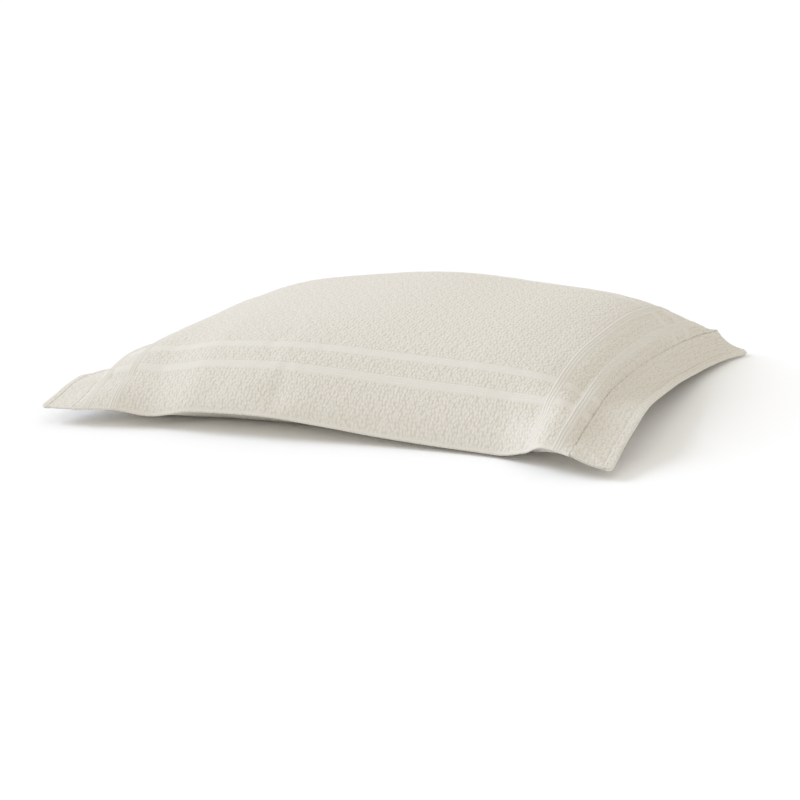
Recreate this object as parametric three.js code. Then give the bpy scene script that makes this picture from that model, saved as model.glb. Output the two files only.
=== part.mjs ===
// A filled pillow sham of pebbled cotton matelasse, with a flat flange at each short end.
// Millimetres, +Z up. It lies on its back, with its length along X and its front side towards -Y.
// The origin is on the surface that it lies on, under the middle of its box.
import * as THREE from "three";

// The cloth, laid flat
const CLOTH_LENGTH = 662; // from end seam to end seam
const CLOTH_WIDTH = 508; // from long seam to long seam
const FLANGE_WIDTH = 49; // from an end seam to the fold of its hem
const SEAM_THICKNESS = 3; // two layers of matelasse
const HEM_WIDTH = 11;
const HEM_THICKNESS = 4; // the turned hem has more layers
const CORNER_RADIUS = 7;
const PIECE_GAP = 0.35;

// The woven frame on the face: plain raised bands, set in from the outer edge of the cloth
const BAND_INSETS = [66, 102];
const BAND_WIDTH = 11;
const BAND_BEVEL = 2;
const BAND_RISE = 1;

// The filling: its crown stands over the seam loop and leans right and back
const CROWN = 40.5;
const LEAN_RIGHT = 0.28;
const LEAN_BACK = 0.205;
const STEEPEST_SLOPE = 0.93; // rise over cloth length, where the cloth leaves a seam

// Fullness: higher is fuller up to the seam. Lip: the height of the cloth that tucks in at the seam
const RIGHT_END = { fullness: 6.5, lip: 8.9 };
const LEFT_END = { fullness: 5.4, lip: 7.5 };
const FRONT_SIDE = { fullness: 2.4, lip: 2.9 };
const BACK_SIDE = { fullness: 3.7, lip: 5.2 };
const LIP_TUCK = 36; // higher tucks the lip in closer to the seam
const LIP_FADE = 8; // higher keeps the lip closer to the corners

// Heights of the seam loop over the surface, from corner to corner (at: -1 left or front, 1 right or back)
const FRONT_SEAM = [
  { at: -1, height: 21.2 },
  { at: -0.85, height: 22.3 },
  { at: -0.7, height: 15.7 },
  { at: -0.5, height: 26.2 },
  { at: -0.25, height: 27.7 },
  { at: 0, height: 20.3 },
  { at: 0.25, height: 11.6 },
  { at: 0.5, height: 6.5 },
  { at: 0.68, height: 5 },
  { at: 0.8, height: 14.1 },
  { at: 0.9, height: 27.4 },
  { at: 1, height: 23.8 },
];
const BACK_SEAM = [
  { at: -1, height: 21.4 },
  { at: -0.5, height: 41.6 },
  { at: 0, height: 55.7 },
  { at: 0.5, height: 40.4 },
  { at: 1, height: 29.4 },
];
const LEFT_SEAM = [
  { at: -1, height: 21.2 },
  { at: -0.5, height: 53.4 },
  { at: 0, height: 45.2 },
  { at: 0.5, height: 43.1 },
  { at: 1, height: 21.4 },
];
const RIGHT_SEAM = [
  { at: -1, height: 23.8 },
  { at: -0.5, height: 49.5 },
  { at: 0, height: 47.5 },
  { at: 0.5, height: 37.5 },
  { at: 1, height: 29.4 },
];
const RIPPLE_FADE = 3; // how soon the front seam's ripple fades into the face

// How far the line from the seam to the hem droops below level, in degrees, along each flange
const LEFT_FLANGE = [
  { at: -1, droop: 1.5 },
  { at: -0.7, droop: 10 },
  { at: -0.58, droop: 21 },
  { at: 0, droop: 41 },
  { at: 0.5, droop: 30 },
  { at: 1, droop: 20 },
];
const RIGHT_FLANGE = [
  { at: -1, droop: 15.5 },
  { at: -0.5, droop: 14.5 },
  { at: 0, droop: 21.5 },
  { at: 0.5, droop: 29.5 },
  { at: 1, droop: 33 },
];
const FLANGE_CURL = 0.8; // share of the droop that is added at the seam, so that a flange flattens outwards

// Soft hollows in the filled face: places on the flat cloth from its middle, reach and depth
const HOLLOWS = [
  { right: 308, back: -149, wide: 43, long: 43, depth: 12 },
  { right: 308, back: 149, wide: 43, long: 43, depth: 6 },
  { right: -308, back: 149, wide: 43, long: 43, depth: 10 },
  { right: -286, back: -204, wide: 38, long: 14, depth: 4 },
  { right: 276, back: -208, wide: 30, long: 14, depth: 3.5 },
  { right: -60, back: -236, wide: 24, long: 26, depth: 3 },
  { right: 285, back: -10, wide: 80, long: 140, depth: 5.5 },
  { right: -305, back: -105, wide: 26, long: 55, depth: 5 },
];
const HOLLOW_EDGE = 26; // strip beside the seams where hollows fade out

// The underside lies flat inside this share of the seam loop
const REST_SHARE = 0.7;
const UNDERSIDE_RINGS = 6;

// Mesh steps
const FACE_STEP = 17;
const SEAM_INSETS = [3, 7, 12];
const FLANGE_STEPS = 4;
const HEM_BEVEL = 1.5;
const ROUNDING_STEPS = [2, 4.5];

const MATELASSE = { color: 0xe6e1d4, roughness: 0.9, metalness: 0 };
const FLANGE_CLOTH = { color: 0xe8e3d8, roughness: 0.88, metalness: 0 };

// The value of a table's column at a place between its rows, smooth and with no overshoot
function readTable(rows, column, place) {
  const last = rows.length - 1;
  let row = 0;
  while (row < last - 1 && rows[row + 1].at < place) {
    row += 1;
  }
  const slope = (k) => (rows[k + 1][column] - rows[k][column]) / (rows[k + 1].at - rows[k].at);
  const tangent = (k) => {
    if (k === 0) {
      return slope(0);
    }
    if (k === last) {
      return slope(last - 1);
    }
    const before = slope(k - 1);
    const after = slope(k);
    return before * after > 0 ? (2 * before * after) / (before + after) : 0;
  };
  const span = rows[row + 1].at - rows[row].at;
  const t = THREE.MathUtils.clamp((place - rows[row].at) / span, 0, 1);
  const rise = t * t * (3 - 2 * t);
  const leaving = t * (1 - t) * (1 - t) * span * tangent(row);
  const arriving = t * t * (1 - t) * span * tangent(row + 1);
  return rows[row][column] * (1 - rise) + rows[row + 1][column] * rise + leaving - arriving;
}

// Grid lines from -half to half: the middle, every band's edges, close lines by the seams, and even
// steps between them
function gridLines(half, bandCentres, step) {
  const flat = BAND_WIDTH / 2 - BAND_BEVEL;
  const edges = [-half, 0, half];
  for (const inset of SEAM_INSETS) {
    edges.push(inset - half, half - inset);
  }
  for (const centre of bandCentres) {
    for (const offset of [-BAND_WIDTH / 2, -flat, flat, BAND_WIDTH / 2]) {
      edges.push(centre + offset, -centre - offset);
    }
  }
  edges.sort((a, b) => a - b);
  const lines = [edges[0]];
  for (let i = 1; i < edges.length; i += 1) {
    const gap = edges[i] - edges[i - 1];
    const cells = Math.ceil(gap / step);
    for (let k = 1; k < cells; k += 1) {
      lines.push(edges[i - 1] + (gap * k) / cells);
    }
    lines.push(edges[i]);
  }
  return lines;
}

// How much of a band's height a cloth place has, for the nearer side's bands
function bandShare(distance, centre) {
  const inside = BAND_WIDTH / 2 - Math.abs(distance - centre);
  return THREE.MathUtils.clamp(inside / BAND_BEVEL, 0, 1);
}

// Height of the seam loop carried over the whole face. The end seams and the corners blend straight
// across; what the long seams add to that fades from the back evenly and from the front sooner
function seamHeight(u, v) {
  const rightward = (u + 1) / 2;
  const backward = (v + 1) / 2;
  const left = readTable(LEFT_SEAM, "height", v);
  const right = readTable(RIGHT_SEAM, "height", v);
  const frontLine = (1 - rightward) * FRONT_SEAM[0].height + rightward * FRONT_SEAM.at(-1).height;
  const backLine = (1 - rightward) * BACK_SEAM[0].height + rightward * BACK_SEAM.at(-1).height;
  const frontRipple = readTable(FRONT_SEAM, "height", u) - frontLine;
  const backRipple = readTable(BACK_SEAM, "height", u) - backLine;
  const ends = (1 - rightward) * left + rightward * right;
  return ends + (1 - backward) ** RIPPLE_FADE * frontRipple + backward * backRipple;
}

// Height of the filled face over the surface, at a place on the flat cloth
function faceHeight(s, t) {
  const u = (2 * s) / CLOTH_LENGTH;
  const v = (2 * t) / CLOTH_WIDTH;
  const end = u > 0 ? RIGHT_END : LEFT_END;
  const side = v > 0 ? BACK_SIDE : FRONT_SIDE;
  const full = (1 - Math.abs(u) ** end.fullness) * (1 - Math.abs(v) ** side.fullness);
  const lean = 1 + LEAN_RIGHT * u + LEAN_BACK * v;
  const endLip = THREE.MathUtils.lerp(LEFT_END.lip, RIGHT_END.lip, (u + 1) / 2);
  const sideLip = THREE.MathUtils.lerp(FRONT_SIDE.lip, BACK_SIDE.lip, (v + 1) / 2);
  const lip = endLip * (1 - Math.abs(v) ** LIP_FADE) + sideLip * (1 - Math.abs(u) ** LIP_FADE);
  const tuck = (1 - Math.abs(u) ** LIP_TUCK) * (1 - Math.abs(v) ** LIP_TUCK);
  const fromEnd = Math.min(1, (CLOTH_LENGTH / 2 - Math.abs(s)) / HOLLOW_EDGE);
  const fromSide = Math.min(1, (CLOTH_WIDTH / 2 - Math.abs(t)) / HOLLOW_EDGE);
  let height = seamHeight(u, v) + CROWN * full * lean + lip * tuck;
  for (const hollow of HOLLOWS) {
    const across = (s - hollow.right) / hollow.wide;
    const along = (t - hollow.back) / hollow.long;
    height -= hollow.depth * fromEnd * fromSide * Math.exp(-across * across - along * along);
  }
  return height;
}

const endBands = BAND_INSETS.map((inset) => CLOTH_LENGTH / 2 + FLANGE_WIDTH - inset);
const sideBands = BAND_INSETS.map((inset) => CLOTH_WIDTH / 2 - inset);
const S = gridLines(CLOTH_LENGTH / 2, endBands, FACE_STEP);
const T = gridLines(CLOTH_WIDTH / 2, sideBands, FACE_STEP);

// Height gained by the woven bands, each drawn in from all four sides and crossing at the corners
function bandHeight(s, t) {
  let share = 0;
  for (const centre of endBands) {
    share = Math.max(share, bandShare(Math.abs(s), centre));
  }
  for (const centre of sideBands) {
    share = Math.max(share, bandShare(Math.abs(t), centre));
  }
  return share * BAND_RISE;
}

// Plan length of a stretch of cloth that rises: the threads keep their lengths, so a slope draws it in
function planLength(cloth, rise) {
  const slope = Math.min(Math.abs(rise / cloth), STEEPEST_SLOPE);
  return cloth * Math.sqrt(1 - slope * slope);
}

// Plan places along one thread, measured from the cloth's middle line
function planPlaces(lines, heights) {
  const places = [0];
  for (let i = 1; i < lines.length; i += 1) {
    places.push(places[i - 1] + planLength(lines[i] - lines[i - 1], heights[i] - heights[i - 1]));
  }
  const middle = places[lines.indexOf(0)];
  return places.map((place) => place - middle);
}

// The filled face as a grid of points, face[i][j] at cloth place S[i], T[j]
function makeFace() {
  const heights = S.map((s) => T.map((t) => faceHeight(s, t)));
  const rightward = T.map((_, j) => planPlaces(S, heights.map((column) => column[j])));
  const backward = S.map((_, i) => planPlaces(T, heights[i]));
  return S.map((_, i) => T.map((_, j) => new THREE.Vector3(rightward[j][i], backward[i][j], heights[i][j])));
}

// A closed geometry from points and triangles
function closedGeometry(points, triangles) {
  const geometry = new THREE.BufferGeometry().setFromPoints(points);
  geometry.setIndex(triangles);
  geometry.computeVertexNormals();
  return geometry;
}

// Two triangles for the quad a, b, c, d, counter-clockwise from outside
function quad(triangles, a, b, c, d) {
  triangles.push(a, b, c, a, c, d);
}

// The grid's outer loop as [i, j] pairs, counter-clockwise from above
function outerLoop(columns, rows) {
  const loop = [];
  for (let i = 0; i < columns - 1; i += 1) {
    loop.push([i, 0]);
  }
  for (let j = 0; j < rows - 1; j += 1) {
    loop.push([columns - 1, j]);
  }
  for (let i = columns - 1; i > 0; i -= 1) {
    loop.push([i, rows - 1]);
  }
  for (let j = rows - 1; j > 0; j -= 1) {
    loop.push([0, j]);
  }
  return loop;
}

// The filled body: the face, a seam as thick as two layers, and an underside that falls in an S to lie flat
function makeBody(face) {
  const points = [];
  const triangles = [];
  const rows = T.length;
  face.forEach((column, i) => {
    column.forEach((point, j) => {
      const lift = SEAM_THICKNESS / 2 + bandHeight(S[i], T[j]);
      points.push(point.clone().add(new THREE.Vector3(0, 0, lift)));
    });
  });
  for (let i = 0; i < S.length - 1; i += 1) {
    for (let j = 0; j < rows - 1; j += 1) {
      const corner = i * rows + j;
      quad(triangles, corner, corner + rows, corner + rows + 1, corner + 1);
    }
  }
  const loop = outerLoop(S.length, rows);
  const count = loop.length;
  let upper = loop.map(([i, j]) => i * rows + j);
  for (let ring = 0; ring <= UNDERSIDE_RINGS; ring += 1) {
    const inward = ring / UNDERSIDE_RINGS;
    const spread = 1 - (1 - REST_SHARE) * inward;
    const lower = loop.map(([i, j], k) => {
      const seam = face[i][j];
      const height = (seam.z - SEAM_THICKNESS / 2) * (1 - THREE.MathUtils.smoothstep(inward, 0, 1));
      points.push(new THREE.Vector3(seam.x * spread, seam.y * spread, height));
      return points.length - 1;
    });
    for (let k = 0; k < count; k += 1) {
      const next = (k + 1) % count;
      quad(triangles, lower[k], lower[next], upper[next], upper[k]);
    }
    upper = lower;
  }
  const rest = upper.map((index) => new THREE.Vector2(points[index].x, points[index].y));
  for (const [a, b, c] of THREE.ShapeUtils.triangulateShape(rest, [])) {
    triangles.push(upper[a], upper[c], upper[b]);
  }
  return closedGeometry(points, triangles);
}

// Width of a flange at a cloth place, less where its corners are rounded
function flangeWidth(t) {
  const past = Math.max(0, CORNER_RADIUS - (CLOTH_WIDTH / 2 - Math.abs(t)));
  return FLANGE_WIDTH - CORNER_RADIUS + Math.sqrt(CORNER_RADIUS ** 2 - past ** 2);
}

// A flange's sections from the seam to the fold of its hem: share of its width and half its thickness
const flangeSections = [];
for (let k = 0; k <= FLANGE_STEPS; k += 1) {
  const share = (k / FLANGE_STEPS) * (1 - HEM_WIDTH / FLANGE_WIDTH);
  flangeSections.push({ share, half: SEAM_THICKNESS / 2 });
}
flangeSections.push(
  { share: 1 - (HEM_WIDTH - HEM_BEVEL) / FLANGE_WIDTH, half: HEM_THICKNESS / 2 },
  { share: 1, half: HEM_THICKNESS / 2 },
);

// A flange: two layers from the seam to the hem, drooping by its table; side is -1 left, 1 right
function makeFlange(face, side, table) {
  const points = [];
  const triangles = [];
  const seam = side > 0 ? face.at(-1) : face[0];
  const half = CLOTH_WIDTH / 2;
  const rounding = ROUNDING_STEPS.map((inset) => half - inset);
  const inner = T.filter((t) => Math.abs(t) < rounding.at(-1));
  const rows = [-half, ...rounding.map((t) => -t), ...inner, ...rounding.toReversed(), half];
  for (const t of rows) {
    const j = Math.max(1, T.findIndex((line) => line >= t));
    const foot = seam[j - 1].clone().lerp(seam[j], (t - T[j - 1]) / (T[j] - T[j - 1]));
    const droop = THREE.MathUtils.degToRad(readTable(table, "droop", t / half));
    const width = flangeWidth(t);
    const upper = [];
    const lower = [];
    for (const section of flangeSections) {
      const reach = PIECE_GAP + (width - PIECE_GAP) * section.share;
      const angle = droop * (1 + FLANGE_CURL * (1 - reach / width));
      const x = foot.x + side * reach * Math.cos(angle);
      const z = Math.max(foot.z - reach * Math.sin(angle), section.half);
      upper.push(new THREE.Vector3(x, foot.y, z + section.half));
      lower.unshift(new THREE.Vector3(x, foot.y, z - section.half));
    }
    points.push(...upper, ...lower);
  }
  const perRow = 2 * flangeSections.length;
  const addQuad = (a, b, c, d) => (side > 0 ? quad(triangles, a, b, c, d) : quad(triangles, d, c, b, a));
  for (let row = 0; row < rows.length - 1; row += 1) {
    for (let k = 0; k < perRow; k += 1) {
      const next = (k + 1) % perRow;
      const here = row * perRow;
      const there = here + perRow;
      addQuad(here + k, here + next, there + next, there + k);
    }
  }
  const end = (rows.length - 1) * perRow;
  for (let k = 0; k < flangeSections.length - 1; k += 1) {
    const under = perRow - 1 - k;
    addQuad(k, under, under - 1, k + 1);
    addQuad(end + k, end + k + 1, end + under - 1, end + under);
  }
  return closedGeometry(points, triangles);
}

// A named mesh with a material of its own
function makePiece(name, geometry, finish) {
  const mesh = new THREE.Mesh(geometry, new THREE.MeshStandardMaterial(finish));
  mesh.name = name;
  return mesh;
}

const face = makeFace();
const sham = new THREE.Group();
sham.add(
  makePiece("body", makeBody(face), MATELASSE),
  makePiece("flange_left", makeFlange(face, -1, LEFT_FLANGE), FLANGE_CLOTH),
  makePiece("flange_right", makeFlange(face, 1, RIGHT_FLANGE), FLANGE_CLOTH),
);

// The sham's box is centred over the origin
const box = new THREE.Box3().setFromObject(sham);
const middle = box.getCenter(new THREE.Vector3());
for (const piece of sham.children) {
  piece.position.set(-middle.x, -middle.y, 0);
}

export default sham;
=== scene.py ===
"""A filled pillow sham of pebbled cotton matelasse, lying on its back.

The body is one closed, padded piece: a crowned face framed by two woven bands on each side,
and an underside that curves down to lie flat. A flange of two layers stands out past the
seam at each short end, with a turned hem. Sizes are in metres, +X along the length, +Z up.
"""
import math
from functools import partial

import bpy
import numpy as np
from bpy.props import FloatProperty, FloatVectorProperty, PointerProperty
from mathutils import Matrix, Vector


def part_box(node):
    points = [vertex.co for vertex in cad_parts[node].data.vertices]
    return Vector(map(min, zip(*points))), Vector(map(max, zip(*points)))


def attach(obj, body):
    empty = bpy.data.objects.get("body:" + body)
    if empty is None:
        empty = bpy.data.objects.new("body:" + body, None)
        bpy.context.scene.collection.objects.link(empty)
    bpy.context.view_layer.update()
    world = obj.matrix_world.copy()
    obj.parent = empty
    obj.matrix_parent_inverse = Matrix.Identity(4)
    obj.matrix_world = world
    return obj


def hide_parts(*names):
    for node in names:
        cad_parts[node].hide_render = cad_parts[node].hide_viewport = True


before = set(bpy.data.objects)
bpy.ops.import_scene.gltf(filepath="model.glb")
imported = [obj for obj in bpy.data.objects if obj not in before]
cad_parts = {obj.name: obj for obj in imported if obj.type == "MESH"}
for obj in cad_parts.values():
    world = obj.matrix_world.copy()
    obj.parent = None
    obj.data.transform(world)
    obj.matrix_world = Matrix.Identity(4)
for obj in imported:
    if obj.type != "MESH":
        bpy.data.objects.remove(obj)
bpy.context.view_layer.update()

bl_info = {
    "name": "Pillow Sham",
    "version": (1, 0, 0),
    "blender": (4, 5, 0),
    "location": "View3D > Sidebar > Sham",
    "description": "Makes a filled pillow sham of pebbled matelasse with flanged ends",
    "category": "Add Mesh",
}

# Heights of the seam loop over the surface; at runs from -1, left or front, to 1, right or back
FRONT_SEAM = {
    "at": (-1, -0.85, -0.7, -0.5, -0.25, 0, 0.25, 0.5, 0.68, 0.8, 0.9, 1),
    "height": (
        0.0212, 0.0223, 0.0157, 0.0262, 0.0277, 0.0203, 0.0116, 0.0065, 0.005, 0.0141, 0.0274, 0.0238
    ),
}
BACK_SEAM = {
    "at": (-1, -0.5, 0, 0.5, 1),
    "height": (0.0214, 0.0416, 0.0557, 0.0404, 0.0294),
}
LEFT_SEAM = {
    "at": (-1, -0.5, 0, 0.5, 1),
    "height": (0.0212, 0.0534, 0.0452, 0.0431, 0.0214),
}
RIGHT_SEAM = {
    "at": (-1, -0.5, 0, 0.5, 1),
    "height": (0.0238, 0.0495, 0.0475, 0.0375, 0.0294),
}

# How far each flange droops below level, in degrees
LEFT_FLANGE = {"at": (-1, -0.7, -0.58, 0, 0.5, 1), "droop": (1.5, 10, 21, 41, 30, 20)}
RIGHT_FLANGE = {"at": (-1, -0.5, 0, 0.5, 1), "droop": (15.5, 14.5, 21.5, 29.5, 33)}

# Soft hollows in the filled face: places on the flat cloth from its middle, reach and depth
HOLLOWS = {
    "right": (0.308, 0.308, -0.308, -0.286, 0.276, -0.060, 0.285, -0.305),
    "back": (-0.149, 0.149, 0.149, -0.204, -0.208, -0.236, -0.010, -0.105),
    "wide": (0.043, 0.043, 0.043, 0.038, 0.030, 0.024, 0.080, 0.026),
    "long": (0.043, 0.043, 0.043, 0.014, 0.014, 0.026, 0.140, 0.055),
    "depth": (0.012, 0.006, 0.010, 0.004, 0.0035, 0.003, 0.0055, 0.005),
}

# Pebbles: how their centres and sizes stray, as warped sines of so much of the column and the row.
# A pebble's reach is in columns and rows, and the mesh carries a share of its rise.
STRAY = {"along": (2.4, 4.4, 0.3), "across": (4.1, -2.9, 0.22), "size": (5.3, 1.9, 0.2)}
STRAY_WARP = (1.7, 2.0)
PEBBLE_REACH = (0.65, 0.75)
MESH_SHARE = 0.25

# Soft folds across a flange: the end it is at (1 right, -1 left), two cloth places, each as its
# reach from the seam and its place along it, and the fold's half width and height
FLANGE_FOLDS = {
    "side": (1, 1, 1, -1, -1),
    "from_reach": (0.0, 0.0, 0.004, 0.0, 0.0),
    "from_back": (-0.226, 0.056, -0.110, -0.190, 0.090),
    "to_reach": (0.047, 0.049, 0.049, 0.049, 0.049),
    "to_back": (-0.250, 0.044, -0.118, -0.200, 0.100),
    "wide": (0.0032, 0.009, 0.012, 0.010, 0.012),
    "rise": (0.0020, 0.0022, 0.0014, 0.0014, 0.0016),
}

# The filled body
BAND_INSETS = (0.066, 0.102)  # from the outer edge of the cloth to the middle of a band
STEEPEST_SLOPE = 0.93  # rise over cloth length, where the cloth leaves a seam
LIP_FADE = 8  # higher keeps the lip closer to the corners
RIPPLE_FADE = 3  # higher keeps the front seam's waves closer to it
BAND_SOFT_EDGE = 1.25  # half widths from a band's middle to where its plain cloth has faded out
STRIP_FADE = (0.6, 1.4)  # widths of the plain strip at a long seam between which it fades out
RIM_PUSH = 0.0012  # how far a long seam stands out past the face
REST_SHARE = 0.7  # of the seam loop's size, where the underside lies flat
UNDERSIDE_RINGS = 10

# The flanges
FLANGE_CURL = 0.8  # how much more a flange droops at the seam than at its hem, as a share
SEAM_TURN = 0.005  # reach in which a flange's thickness turns upright towards the seam
HEM_RAMP = 0.0006  # half the width of the step up to the hem
HEM_GROOVE = (0.0009, 0.0006)  # half width and depth of the stitched groove beside the hem
FOLD_ROUND = 0.002  # how far in from an edge its rounding starts
END_THICKNESS = 0.25  # share of the thickness left at the ends of a flange
PLAIN_EDGE = (0.0015, 0.004)  # pebbles begin between these distances from an edge
PLAIN_GROOVE = 0.8  # share of the pebbles that the stitched groove presses flat
PLAIN_TONE = 0.4  # how much of the bands' plain colour a flange's plain cloth takes
FOLD_ENDS = (0.3, 0.6)  # shares of a soft fold's length where it is fully up and starts to fade
LEAST_HEIGHTS = {1: 0.0012, -1: 0.0002}  # of a flange's upper and lower layer over the surface
FLANGE_PEBBLES = {"mesh": 0.6, "bump": 0.85}  # pressed flatter than the body's

# Grid steps on the cloth; those over a band are offsets from its middle
FACE_STEPS = (0.0020, 0.0027)
BAND_STEPS = (0, 0.0009, 0.0018, 0.0026, 0.0034, 0.0043, 0.0052, 0.0064)
FLANGE_STEP = 0.0016
FLANGE_CROWDING = 1.15  # higher crowds a flange's lines towards its hem

# The cover that settles over the filling, on its own coarse grid
SETTLE_STEP = 0.012
SETTLE_FRAMES = 20
SETTLE_CAP = 0.006  # longest wrinkle move that is kept
SWELL_PASSES = 8  # passes of the average that is taken off as swelling
SETTLE_CLOTH = {
    "quality": 6,
    "mass": 0.02,
    "tension_stiffness": 25,
    "compression_stiffness": 25,
    "shear_stiffness": 10,
    "bending_stiffness": 0.4,
    "use_pressure": True,
    "uniform_pressure_force": 4,
    "shrink_min": -0.005,
    "vertex_group_mass": "held",
}

# Looks
ROUGHNESS = {"matelasse": 0.88, "flange_cloth": 0.86}
PEBBLE_TONE = (0.15, 0.65)  # pebble heights where the painted shade between the pebbles ends and the cloth's own colour begins
YARN_TONE = {"From Min": 0.6, "From Max": 1.4, "To Min": 0.965, "To Max": 1.03}  # noise to shade
YARN_STRETCHES = ((150, 700, 1), (700, 150, 1))  # noise scales along and across the cloth
UV_SPAN = 1.4  # metres of cloth from one side of the UV tile to the other
FLOOR_RADII = (30, 1)
FLOOR_SIDES = 96
SUN_WIDTH = math.radians(30)

length_value = partial(FloatProperty, unit="LENGTH")
angle_value = partial(FloatProperty, unit="ROTATION")
colour_value = partial(FloatVectorProperty, subtype="COLOR", size=3)


class ShamSizes(bpy.types.PropertyGroup):
    """Sizes of the cloth and its filling."""

    cloth_length: length_value(name="Cloth length", description="From end seam to end seam", default=0.662)
    cloth_width: length_value(name="Cloth width", description="From long seam to long seam", default=0.508)
    flange_width: length_value(
        name="Flange width", description="From an end seam to its hem's fold", default=0.049
    )
    seam_thickness: length_value(name="Seam thickness", description="Two layers of the cloth", default=0.003)
    hem_width: length_value(name="Hem width", description="The turned edge of a flange", default=0.011)
    hem_thickness: length_value(
        name="Hem thickness", description="The turned edge has more layers", default=0.004
    )
    corner_radius: length_value(
        name="Corner radius", description="Rounding of a flange's corners", default=0.007
    )
    crown: length_value(name="Crown", description="Height of the filling over the seam loop", default=0.0405)
    lean_right: FloatProperty(
        name="Lean right", description="How much higher the filling stands towards the right", default=0.28
    )
    lean_back: FloatProperty(
        name="Lean back", description="How much higher the filling stands towards the back", default=0.205
    )
    fullness: FloatVectorProperty(
        name="Fullness", description="Higher is fuller up to the seam: right, left, front and back",
        default=(6.5, 5.4, 2.4, 3.7), size=4,
    )
    lip: FloatVectorProperty(
        name="Lip", description="Height of the cloth that tucks in at the seam: right, left, front and back",
        default=(0.0089, 0.0075, 0.0029, 0.0052), size=4, unit="LENGTH",
    )
    lip_tuck: FloatProperty(
        name="Lip tuck", description="Higher tucks the lip in closer to the seam", default=36
    )
    hollow_edge: length_value(name="Hollow edge", description="Strip where hollows fade out", default=0.026)


class ShamWeave(bpy.types.PropertyGroup):
    """The cloth's pebbles and woven bands."""

    pebble_wide: length_value(
        name="Pebble width", description="Along the length of the cloth", default=0.0038
    )
    pebble_long: length_value(name="Pebble length", description="Across the cloth", default=0.0048)
    pebble_rise: length_value(
        name="Pebble rise", description="From a pit to the top of a pebble", default=0.0009
    )
    bump_share: FloatProperty(
        name="Bump share", description="Share of the pebbles' rise in the shader's bump", default=0.64
    )
    yarn_rise: length_value(name="Yarn rise", description="Depth of the fine yarns", default=0.00015)
    band_half: length_value(name="Half band", description="Half of a woven band's width", default=0.0052)
    rib_rise: length_value(
        name="Rib rise", description="Height of the three ribs of an end band", default=0.0009
    )
    line_rise: length_value(
        name="Line rise", description="Height of the fine lines of a side band", default=0.0004
    )
    edge_strip: length_value(name="Edge strip", description="Plain cloth beside a long seam", default=0.0018)
    stitch_long: length_value(
        name="Stitch length", description="From one stitch to the next", default=0.0034
    )
    stitch_depth: length_value(
        name="Stitch depth", description="How far a stitch draws the hem in", default=0.0006
    )
    settle_share: FloatProperty(
        name="Settling", description="Share of the settled cloth's wrinkles that is kept", default=0.22
    )


class ShamColours(bpy.types.PropertyGroup):
    """Colours of the cloth."""

    cloth: colour_value(name="Cloth", description="Cotton on the pebbles", default=(0.732, 0.70, 0.632))
    # This colour is painted shade: the cotton in the dips between the pebbles, drawn darker and warmer where
    # shade falls
    valley_shade: colour_value(
        name="Valley shade", description="Cotton between the pebbles", default=(0.655, 0.612, 0.53)
    )
    band: colour_value(name="Band", description="Plain cotton of the bands", default=(0.735, 0.705, 0.642))
    floor: colour_value(name="Floor", description="Pale floor", default=(0.97, 0.97, 0.97))


class ShamStage(bpy.types.PropertyGroup):
    """Camera and light."""

    azimuth: angle_value(
        name="Azimuth", description="Camera's turn to the right of the front", default=math.radians(27.91)
    )
    elevation: angle_value(
        name="Elevation", description="Camera's angle over level", default=math.radians(16.38)
    )
    roll: angle_value(name="Roll", description="Camera's lean", default=math.radians(-3.78))
    distance: length_value(
        name="Distance", description="From the camera to the middle of the cloth", default=2.3
    )
    lens: FloatProperty(
        name="Lens", description="Focal length in millimetres on a 36 mm wide frame", default=81.94
    )
    shift_x: FloatProperty(name="Shift X", description="Sideways share of the frame", default=-0.005)
    shift_y: FloatProperty(name="Shift Y", description="Upward share of the frame", default=-0.0144)
    sky: colour_value(name="Sky", description="The even studio light", default=(0.84, 0.818, 0.77))
    sun: FloatProperty(name="Sun", description="Strength of the soft main light", default=1.77)
    sun_tint: colour_value(
        name="Sun tint", description="Colour of the main light", default=(0.75, 0.83, 1.0)
    )
    sun_from: FloatVectorProperty(
        name="Sun from", description="Direction the main light comes from",
        default=(-1.0, 0.0, 0.6), subtype="DIRECTION", size=3,
    )


def read_table(table, column, place):
    """Smooth value of a table's column: cubic pieces between the rows, whose tangents are the
    harmonic mean of the slopes on both sides, or zero at a turn, so that none overshoots."""
    at = np.array(table["at"], float)
    value = np.array(table[column], float)
    span = np.diff(at)
    slope = np.diff(value) / span
    product = slope[:-1] * slope[1:]
    total = np.where(product > 0, slope[:-1] + slope[1:], 1)
    inner = np.where(product > 0, 2 * product / total, 0)
    tangent = np.concatenate([slope[:1], inner, slope[-1:]])
    row = np.clip(np.searchsorted(at, place) - 1, 0, len(at) - 2)
    part = np.clip((place - at[row]) / span[row], 0, 1)
    rise = part * part * (3 - 2 * part)
    leaving = part * (1 - part) ** 2 * span[row] * tangent[row]
    arriving = part**2 * (1 - part) * span[row] * tangent[row + 1]
    return value[row] * (1 - rise) + value[row + 1] * rise + leaving - arriving


def smooth_step(low, high, value):
    """0 below low, 1 above high, and an S-shaped rise between them."""
    part = np.clip((value - low) / (high - low), 0, 1)
    return part * part * (3 - 2 * part)


def seam_height(u, v):
    """Height of the seam loop carried over the face. The end seams and the corners blend straight
    across; what the long seams add to that fades from the back evenly, from the front as a power."""
    right, back = (u + 1) / 2, (v + 1) / 2
    ends = (1 - right) * read_table(LEFT_SEAM, "height", v) + right * read_table(RIGHT_SEAM, "height", v)
    front_line = (1 - right) * FRONT_SEAM["height"][0] + right * FRONT_SEAM["height"][-1]
    back_line = (1 - right) * BACK_SEAM["height"][0] + right * BACK_SEAM["height"][-1]
    front_ripple = read_table(FRONT_SEAM, "height", u) - front_line
    back_ripple = read_table(BACK_SEAM, "height", u) - back_line
    return ends + (1 - back) ** RIPPLE_FADE * front_ripple + back * back_ripple


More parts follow.
